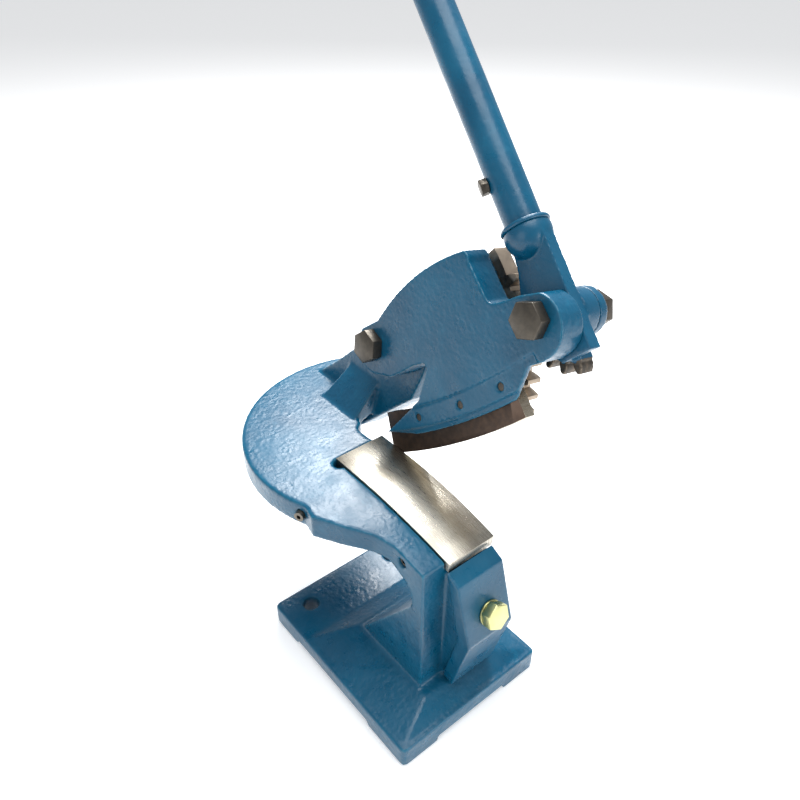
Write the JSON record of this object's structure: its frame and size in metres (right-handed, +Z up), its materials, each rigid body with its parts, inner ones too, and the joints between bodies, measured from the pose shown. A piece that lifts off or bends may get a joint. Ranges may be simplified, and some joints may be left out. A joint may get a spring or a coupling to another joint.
{
  "type": "metal shear",
  "caption": "Hand lever shear for sheet metal: C-shaped casting with a fixed lower blade and a geared lever that swings a curved upper blade.",
  "frame": {"origin": "middle of the base's underside, on the bench", "axes": "+X along the cut towards the operator, +Z up, +Y across the cut towards the gear side"},
  "size_m": [0.5946, 0.3384, 0.8957],
  "materials": {
    "blue_paint": "gloss hammer paint",
    "black_oxide": "black oxide",
    "ground_steel": "ground",
    "dark_blade": "heat-blackened, ground edge",
    "yellow_zinc": "yellow zinc",
    "bronze": "turned",
    "bare_steel": "bare, dull"
  },
  "bodies": {
    "frame": {"frame_casting": "blue_paint", "jack_screws": "black_oxide", "lower_blade": "ground_steel", "lower_blade_screws": "black_oxide", "clamp_strap": "blue_paint", "clamp_washer": "yellow_zinc", "clamp_bolt": "yellow_zinc", "jaw_pivot_bush": "bronze", "gear_segment": "bare_steel", "segment_screws": "black_oxide", "segment_dowels": "ground_steel"},
    "jaw": {"jaw_casting": "blue_paint", "upper_blade": "dark_blade", "upper_blade_screws": "black_oxide", "jaw_pivot_bolt": "black_oxide", "jaw_pivot_washer": "black_oxide", "jaw_pivot_nut": "black_oxide", "rear_link_plate": "blue_paint", "lever_pivot_bolt": "black_oxide", "lever_pivot_washer": "black_oxide", "lever_pivot_nut": "black_oxide"},
    "lever": {"lever_head": "blue_paint", "lever_bush": "bronze", "handle_pipe": "blue_paint", "collar_ring": "blue_paint", "handle_bolt": "black_oxide", "handle_end_plug": "blue_paint"}
  },
  "joints": [
    {"name": "jaw_pivot", "type": "hinge", "parent": "frame", "child": "jaw", "pos_m": [-0.121, 0.10437, 0.29154], "axis": [0, 0.9744, -0.225], "range_deg": [0, 27]},
    {"name": "lever_pivot", "type": "hinge", "parent": "jaw", "child": "lever", "pos_m": [0.06377, 0.12798, 0.39382], "axis": [0, 0.9744, -0.225], "range_deg": [0, 94]}
  ],
  "couplings": [
    {"joint": "lever_pivot", "follows": "jaw_pivot", "ratio": 3.4737}
  ]
}
